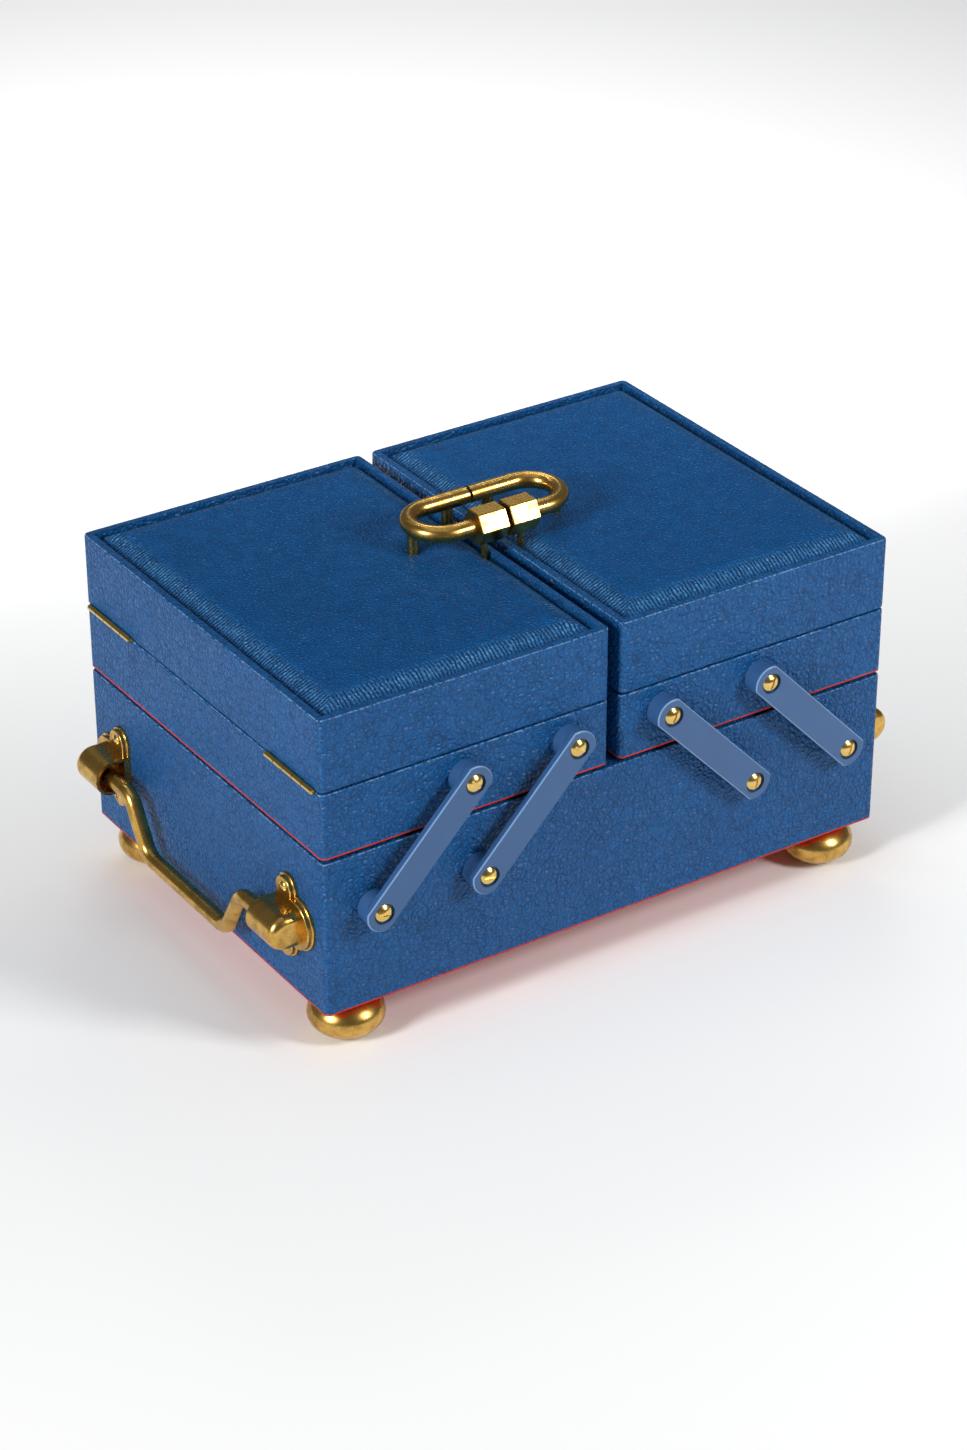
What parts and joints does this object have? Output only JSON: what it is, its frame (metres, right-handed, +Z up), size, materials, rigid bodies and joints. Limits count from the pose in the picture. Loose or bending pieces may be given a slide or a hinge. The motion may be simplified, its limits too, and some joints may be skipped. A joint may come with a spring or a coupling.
{
  "type": "sewing box with trays",
  "caption": "Cantilever sewing box: deep leather-covered base on ball feet, lidded trays that swing out on parallel arms, drop handles at the sides and a split link clasp.",
  "frame": {"origin": "on the floor under the middle of the box, at the level of the flats under its ball feet", "axes": "+Z up; +X to the right of someone who faces the front; -Y is the front. Closed box: trays in, lids shut, bails hanging."},
  "size_m": [0.3366, 0.2276, 0.192],
  "materials": {
    "blue_leather": "embossed pebble grain, semi-matt",
    "padded_leather": "fine pebble grain over foam, semi-matt",
    "red_leather": "thin skiver, matt",
    "suede_lining": "short nap suede, matt",
    "plywood": "sanded birch plywood",
    "painted_arm": "satin powder paint",
    "antique_brass": "brushed and aged, satin",
    "polished_brass": "turned and polished",
    "steel": "plain"
  },
  "bodies": {
    "base": {"base_walls": "plywood", "base_bottom_board": "plywood", "base_leather_wrap": "blue_leather", "base_underside_leather": "red_leather", "base_lining": "suede_lining", "ball_feet": "antique_brass", "foot_studs": "steel", "left_front_handle_socket": "antique_brass", "left_back_handle_socket": "antique_brass", "right_front_handle_socket": "antique_brass", "right_back_handle_socket": "antique_brass", "handle_screws": "polished_brass", "base_pivot_spacers": "painted_arm", "base_pivot_screws": "polished_brass"},
    "left_front_outer_arm": {"left_front_outer_arm": "painted_arm"},
    "left_front_inner_arm": {"left_front_inner_arm": "painted_arm"},
    "left_back_outer_arm": {"left_back_outer_arm": "painted_arm"},
    "left_back_inner_arm": {"left_back_inner_arm": "painted_arm"},
    "left_tray": {"left_tray_walls": "plywood", "left_tray_bottom_board": "plywood", "left_tray_leather_wrap": "blue_leather", "left_tray_underside_leather": "red_leather", "left_tray_lining": "suede_lining", "left_tray_pivot_spacers": "painted_arm", "left_tray_pivot_screws": "polished_brass", "left_hinge_tray_leaves": "polished_brass", "left_hinge_pins": "polished_brass"},
    "left_lid": {"left_lid_frame": "plywood", "left_lid_panel": "plywood", "left_lid_leather_wrap": "blue_leather", "left_lid_lining": "suede_lining", "left_lid_pad": "padded_leather", "left_hinge_lid_leaves": "polished_brass", "left_clasp_link": "antique_brass", "left_clasp_nut": "antique_brass", "left_clasp_posts": "antique_brass"},
    "left_bail": {"left_bail": "antique_brass"},
    "right_front_outer_arm": {"right_front_outer_arm": "painted_arm"},
    "right_front_inner_arm": {"right_front_inner_arm": "painted_arm"},
    "right_back_outer_arm": {"right_back_outer_arm": "painted_arm"},
    "right_back_inner_arm": {"right_back_inner_arm": "painted_arm"},
    "right_tray": {"right_tray_walls": "plywood", "right_tray_bottom_board": "plywood", "right_tray_leather_wrap": "blue_leather", "right_tray_underside_leather": "red_leather", "right_tray_lining": "suede_lining", "right_tray_pivot_spacers": "painted_arm", "right_tray_pivot_screws": "polished_brass", "right_hinge_tray_leaves": "polished_brass", "right_hinge_pins": "polished_brass"},
    "right_lid": {"right_lid_frame": "plywood", "right_lid_panel": "plywood", "right_lid_leather_wrap": "blue_leather", "right_lid_lining": "suede_lining", "right_lid_pad": "padded_leather", "right_hinge_lid_leaves": "polished_brass", "right_clasp_link": "antique_brass", "right_clasp_nut": "antique_brass", "right_clasp_posts": "antique_brass"},
    "right_bail": {"right_bail": "antique_brass"}
  },
  "joints": [
    {"name": "left_swing", "type": "hinge", "parent": "base", "child": "left_front_outer_arm", "pos_m": [-0.1255, -0.11116, 0.0724], "axis": [0, -1, 0], "range_deg": [0, 87.2]},
    {"name": "left_front_inner_arm_pivot", "type": "hinge", "parent": "base", "child": "left_front_inner_arm", "pos_m": [-0.0718, -0.11116, 0.0724], "axis": [0, -1, 0], "range_deg": [0, 87.2]},
    {"name": "left_back_outer_arm_pivot", "type": "hinge", "parent": "base", "child": "left_back_outer_arm", "pos_m": [-0.1255, 0.11116, 0.0724], "axis": [0, -1, 0], "range_deg": [0, 87.2]},
    {"name": "left_back_inner_arm_pivot", "type": "hinge", "parent": "base", "child": "left_back_inner_arm", "pos_m": [-0.0718, 0.11116, 0.0724], "axis": [0, -1, 0], "range_deg": [0, 87.2]},
    {"name": "left_tray_pivot", "type": "hinge", "parent": "left_front_outer_arm", "child": "left_tray", "pos_m": [-0.07884, -0.11116, 0.1214], "axis": [0, -1, 0], "range_deg": [-87.2, 0]},
    {"name": "left_lid_hinge", "type": "hinge", "parent": "left_tray", "child": "left_lid", "pos_m": [-0.1507, 0, 0.1344], "axis": [0, -1, 0], "range_deg": [0, 180]},
    {"name": "left_bail_swing", "type": "hinge", "parent": "base", "child": "left_bail", "pos_m": [-0.1598, 0, 0.0614], "axis": [0, 1, 0], "range_deg": [-10, 90]},
    {"name": "right_swing", "type": "hinge", "parent": "base", "child": "right_front_outer_arm", "pos_m": [0.1255, -0.11116, 0.0724], "axis": [0, 1, 0], "range_deg": [0, 87.2]},
    {"name": "right_front_inner_arm_pivot", "type": "hinge", "parent": "base", "child": "right_front_inner_arm", "pos_m": [0.0718, -0.11116, 0.0724], "axis": [0, 1, 0], "range_deg": [0, 87.2]},
    {"name": "right_back_outer_arm_pivot", "type": "hinge", "parent": "base", "child": "right_back_outer_arm", "pos_m": [0.1255, 0.11116, 0.0724], "axis": [0, 1, 0], "range_deg": [0, 87.2]},
    {"name": "right_back_inner_arm_pivot", "type": "hinge", "parent": "base", "child": "right_back_inner_arm", "pos_m": [0.0718, 0.11116, 0.0724], "axis": [0, 1, 0], "range_deg": [0, 87.2]},
    {"name": "right_tray_pivot", "type": "hinge", "parent": "right_front_outer_arm", "child": "right_tray", "pos_m": [0.07884, -0.11116, 0.1214], "axis": [0, 1, 0], "range_deg": [-87.2, 0]},
    {"name": "right_lid_hinge", "type": "hinge", "parent": "right_tray", "child": "right_lid", "pos_m": [0.1507, 0, 0.1344], "axis": [0, 1, 0], "range_deg": [0, 180]},
    {"name": "right_bail_swing", "type": "hinge", "parent": "base", "child": "right_bail", "pos_m": [0.1598, 0, 0.0614], "axis": [0, -1, 0], "range_deg": [-10, 90]}
  ],
  "couplings": [
    {"joint": "left_front_inner_arm_pivot", "follows": "left_swing", "ratio": 1},
    {"joint": "left_back_outer_arm_pivot", "follows": "left_swing", "ratio": 1},
    {"joint": "left_back_inner_arm_pivot", "follows": "left_swing", "ratio": 1},
    {"joint": "left_tray_pivot", "follows": "left_swing", "ratio": -1},
    {"joint": "right_front_inner_arm_pivot", "follows": "right_swing", "ratio": 1},
    {"joint": "right_back_outer_arm_pivot", "follows": "right_swing", "ratio": 1},
    {"joint": "right_back_inner_arm_pivot", "follows": "right_swing", "ratio": 1},
    {"joint": "right_tray_pivot", "follows": "right_swing", "ratio": -1}
  ]
}
